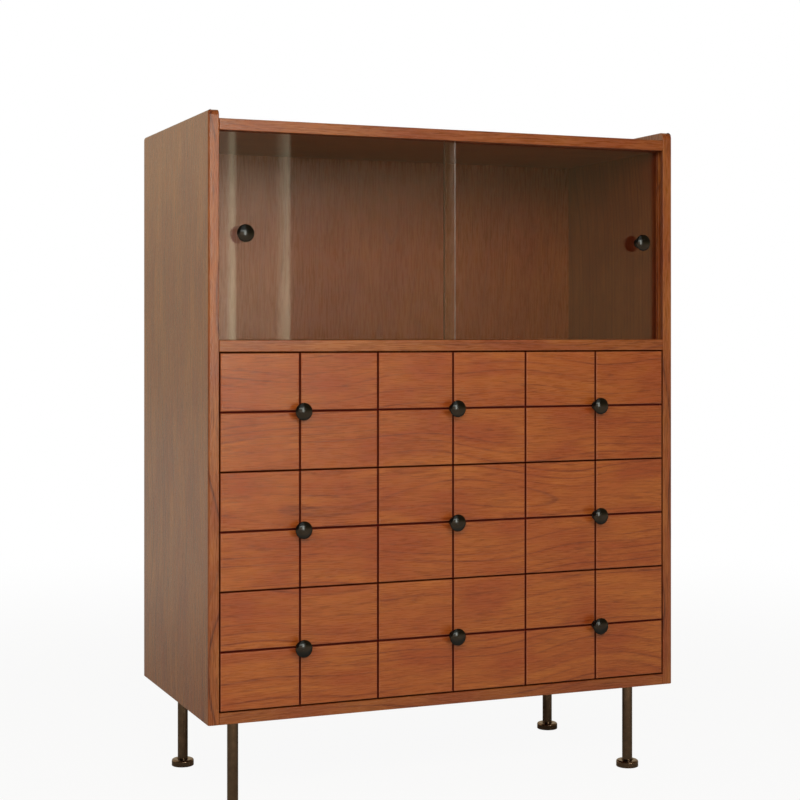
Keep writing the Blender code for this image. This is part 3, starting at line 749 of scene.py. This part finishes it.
tea_glass = tinted_glass("tea_tinted_float_glass", linear(TEA_TINT), linear(EDGE_TINT))
for label in ("left", "right"):
    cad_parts[f"glass_pane_{label}"].material_slots[0].material = tea_glass


# Floor: a wide sheet of pale matt paint that fades to white for the camera away from the chest's feet.
# Metal, glass and lacquer mirror it as warmly lit in front of the chest and as paler behind it.
FLOOR_HALF = 12.0
FLOOR_PAINT = "#d8ceb8"
FLOOR_ROUGHNESS = 0.9
FLOOR_WHITE_NEAR = 0.93
FLOOR_WHITE_SPAN = (0.9, 3.0)
FLOOR_BEHIND_SPAN = (0.0, 2.6)
FLOOR_BEHIND_GLOW = ("#e0d2ba", 0.88)
FLOOR_FRONT_SPAN = (-0.3, -1.2)
FLOOR_FRONT_GLOW = ("#ffd8ae", 0.95)


def lit(hex_colour, level):
    """A colour at a level of light, as linear red, green and blue."""
    return [level * channel for channel in linear(hex_colour)[:3]]


def seen_rays(tree):
    """Two sockets: 1 for a ray from the camera, and 1 for any ray that shows what it meets.

    Those are the camera's own rays, rays off metal or lacquer, and rays through glass.
    """
    camera_ray, glossy_ray, through_ray = (
        add_node(tree, "LightPath", out=f"Is {kind} Ray") for kind in ("Camera", "Glossy", "Transmission")
    )
    either = add_node(tree, "Math", {0: glossy_ray, 1: through_ray}, operation="MAXIMUM")
    return camera_ray, add_node(tree, "Math", {0: camera_ray, 1: either}, operation="MAXIMUM")


floor_edge = np.array([-FLOOR_HALF, FLOOR_HALF])
floor_x, floor_y = np.meshgrid(floor_edge, floor_edge)
floor_points = np.stack((floor_x, floor_y, 0 * floor_x), axis=-1).reshape(-1, 3)
floor_mesh = bpy.data.meshes.new("floor")
floor_mesh.from_pydata(floor_points.tolist(), [], [(0, 1, 3, 2)])
floor = bpy.data.objects.new("floor", floor_mesh)
bpy.context.scene.collection.objects.link(floor)
floor_paint, floor_tree, floor_shader = new_material("pale_floor_paint")
floor_shader.inputs["Base Color"].default_value = linear(FLOOR_PAINT)
floor_shader.inputs["Roughness"].default_value = FLOOR_ROUGHNESS
floor_place = add_node(floor_tree, "TexCoord", out="Object")
distance = add_node(floor_tree, "VectorMath", {0: floor_place}, "Value", operation="LENGTH")
floor_deep = add_node(floor_tree, "SeparateXYZ", {0: floor_place}, "Y")
floor_white, behind_reach, front_reach = (
    add_node(
        floor_tree,
        "MapRange",
        {"Value": source, "From Min": span[0], "From Max": span[1], "To Min": least},
        interpolation_type="SMOOTHSTEP",
    )
    for source, span, least in (
        (distance, FLOOR_WHITE_SPAN, FLOOR_WHITE_NEAR),
        (floor_deep, FLOOR_BEHIND_SPAN, 0.0),
        (floor_deep, FLOOR_FRONT_SPAN, 0.0),
    )
)
floor_glows = {4: lit(*FLOOR_BEHIND_GLOW), 5: lit(*FLOOR_FRONT_GLOW)}
mirrored_glow = add_node(floor_tree, "Mix", {"Factor": front_reach, **floor_glows}, 1, data_type="VECTOR")
floor_reach = add_node(floor_tree, "Math", {0: behind_reach, 1: front_reach}, operation="MAXIMUM")
floor_camera, floor_seen = seen_rays(floor_tree)
mirrored_share = add_node(floor_tree, "Math", {0: floor_reach, 1: floor_seen}, operation="MULTIPLY")
glow_share = add_node(floor_tree, "Mix", {"Factor": floor_camera, 2: mirrored_share, 3: floor_white})
camera_glow = {"Factor": floor_camera, 4: mirrored_glow, 5: (1, 1, 1)}
floor_glow = add_node(floor_tree, "Mix", camera_glow, 1, data_type="VECTOR")
floor_light = add_node(floor_tree, "Emission", {"Color": floor_glow, "Strength": 1.0})
floor_look = add_node(floor_tree, "MixShader", {0: glow_share, 1: floor_shader.outputs[0], 2: floor_light})
floor_tree.links.new(floor_look, floor_tree.nodes["Material Output"].inputs["Surface"])
floor_mesh.materials.append(floor_paint)


# Softbox: a wide lamp in front of the chest and to its left, which gives the plain soft light. It is
# left out of mirrored rays, where the room's window stands for it, so the top does not glare.
SOFTBOX_PLACE = (-1.35, -3.2, 1.83)
SOFTBOX_AIM = (-1.35, 0.0, -1.5)
SOFTBOX_WIDTH = 3.6
SOFTBOX_HEIGHT = 1.35
SOFTBOX_POWER = 104.0
lamp = bpy.data.lights.new("softbox", "AREA")
lamp.shape = "RECTANGLE"
lamp.size = SOFTBOX_WIDTH
lamp.size_y = SOFTBOX_HEIGHT
lamp.energy = SOFTBOX_POWER
softbox = bpy.data.objects.new("softbox", lamp)
bpy.context.scene.collection.objects.link(softbox)
softbox.location = SOFTBOX_PLACE
softbox.visible_glossy = False
aim = Vector(SOFTBOX_AIM) - Vector(SOFTBOX_PLACE)
softbox.rotation_euler = aim.to_track_quat("-Z", "Y").to_euler()


# Room: the camera sees plain white, surfaces get an even fill that is stronger from the left, and metal,
# glass and lacquer mirror a warm room. In front it has a window and, right of that, two bright uprights,
# each placed by its slant, which is x over -y of a direction. Behind the chest its wall is pale.
FILL_LEVEL = 0.17
FILL_LEFT = 0.48
FILL_SPAN = (-0.2, -0.9)
ROOM_FAR_LEFT = ("#ffdab5", 0.3)
# Each turn of the wall: the slants at which it starts and ends, and the colour and level after it.
ROOM_TURNS = (
    (-0.34, -0.26, "#ffdab5", 1.85),
    (0.2961, 0.2994, "#fff2ca", 3.4),
    (0.3007, 0.3030, "#ffd6a5", 1.1),
    (0.3277, 0.3359, "#fff5ce", 2.5),
    (0.3366, 0.3385, "#ffda9e", 0.58),
)
ROOM_WINDOW = "#fcfaea"
ROOM_BEHIND = "#e8d4b3"
BEHIND_SPAN = (-0.15, 0.3)
WINDOW_LEFT = (-0.3, -0.22)
# Each ramp: what it follows, where on that it starts and ends, and its level at each of the two.
ROOM_RAMPS = {
    "room_dims": ("upward", 0.03, 0.13, 1.0, 0.42),
    "window_step": ("upward", 0.16, 0.24, 0.42, 0.0),
    "window_right": ("slant", 0.285, 0.27, 0.0, 1.0),
    "window_level": ("upward", 0.1, 0.16, 10.2, 7.5),
    "window_top": ("upward", 0.28, 0.235, 0.1, 1.0),
    "behind_left": ("slant", 0.244, 0.262, 0.55, 1.0),
    "behind_rise": ("upward", 0.03, 0.12, 0.97, 1.4),
}

world = bpy.data.worlds.new("studio")
world.use_nodes = True
bpy.context.scene.world = world
sky = world.node_tree
toward = add_node(sky, "TexCoord", out="Generated")
toward_x, toward_y, upward = (add_node(sky, "SeparateXYZ", {0: toward}, axis) for axis in "XYZ")
ahead = add_node(sky, "Math", {0: toward_y, 1: -1.0}, operation="MULTIPLY")
slant = add_node(sky, "Math", {0: toward_x, 1: ahead}, operation="DIVIDE")
ramps = {}
for ramp_name, (course, ramp_from, ramp_to, least, most) in ROOM_RAMPS.items():
    ramp_span = {"From Min": ramp_from, "From Max": ramp_to, "To Min": least, "To Max": most}
    ramp_source = slant if course == "slant" else upward
    ramps[ramp_name] = add_node(sky, "MapRange", {"Value": ramp_source, **ramp_span})

room = lit(*ROOM_FAR_LEFT)
for turn_from, turn_to, turn_tone, turn_level in ROOM_TURNS:
    turn_share = add_node(sky, "MapRange", {"Value": slant, "From Min": turn_from, "From Max": turn_to})
    turned_wall = {"Factor": turn_share, 4: room, 5: lit(turn_tone, turn_level)}
    room = add_node(sky, "Mix", turned_wall, 1, data_type="VECTOR")
dimmed = add_node(sky, "VectorMath", {0: room, "Scale": ramps["room_dims"]}, operation="SCALE")

stepped = add_node(sky, "Math", {0: slant, 1: ramps["window_step"]}, operation="SUBTRACT")
left_span = {"From Min": WINDOW_LEFT[0], "From Max": WINDOW_LEFT[1]}
window_left = add_node(sky, "MapRange", {"Value": stepped, **left_span})
window = add_node(sky, "Math", {0: window_left, 1: ramps["window_right"]}, operation="MULTIPLY")
window_sides = {0: ramps["window_level"], 1: ramps["window_top"]}
window_level = add_node(sky, "Math", window_sides, operation="MULTIPLY")
daylight = {0: linear(ROOM_WINDOW)[:3], "Scale": window_level}
window_light = add_node(sky, "VectorMath", daylight, operation="SCALE")
in_front = add_node(sky, "Mix", {"Factor": window, 4: dimmed, 5: window_light}, 1, data_type="VECTOR")

wall_sides = {0: ramps["behind_left"], 1: ramps["behind_rise"]}
wall_level = add_node(sky, "Math", wall_sides, operation="MULTIPLY")
wall_paint = {0: linear(ROOM_BEHIND)[:3], "Scale": wall_level}
wall_light = add_node(sky, "VectorMath", wall_paint, operation="SCALE")
behind_span = {"From Min": BEHIND_SPAN[0], "From Max": BEHIND_SPAN[1]}
behind = add_node(sky, "MapRange", {"Value": toward_y, **behind_span}, interpolation_type="SMOOTHSTEP")
all_round = add_node(sky, "Mix", {"Factor": behind, 4: in_front, 5: wall_light}, 1, data_type="VECTOR")
fill_span = {"From Min": FILL_SPAN[0], "From Max": FILL_SPAN[1], "To Min": FILL_LEVEL, "To Max": FILL_LEFT}
fill = add_node(sky, "MapRange", {"Value": toward_x, **fill_span}, interpolation_type="SMOOTHSTEP")
sky_camera, sky_seen = seen_rays(sky)
shown = add_node(sky, "Mix", {"Factor": sky_camera, 6: all_round, 7: (1, 1, 1, 1)}, 2, data_type="RGBA")
light = add_node(sky, "Mix", {"Factor": sky_seen, 6: fill, 7: shown}, 2, data_type="RGBA")
sky.links.new(light, sky.nodes["Background"].inputs["Color"])


# Camera: level, a little left of the chest and about two thirds up it, with a short telephoto lens.
# It is shifted down rather than tilted, as in the photograph, so that uprights stay upright.
CAMERA_PLACE = (-1.087, -2.604, 0.731)
CAMERA_YAW = 22.41
CAMERA_LENS = 75.4
CAMERA_SENSOR = 36.0
CAMERA_SHIFT = -0.084
camera_data = bpy.data.cameras.new("camera")
camera_data.lens = CAMERA_LENS
camera_data.sensor_width = CAMERA_SENSOR
camera_data.shift_y = CAMERA_SHIFT
camera = bpy.data.objects.new("camera", camera_data)
bpy.context.scene.collection.objects.link(camera)
camera.location = CAMERA_PLACE
camera.rotation_euler = (math.pi / 2, 0, -math.radians(CAMERA_YAW))
bpy.context.scene.camera = camera
bpy.context.scene.view_settings.view_transform = "Standard"
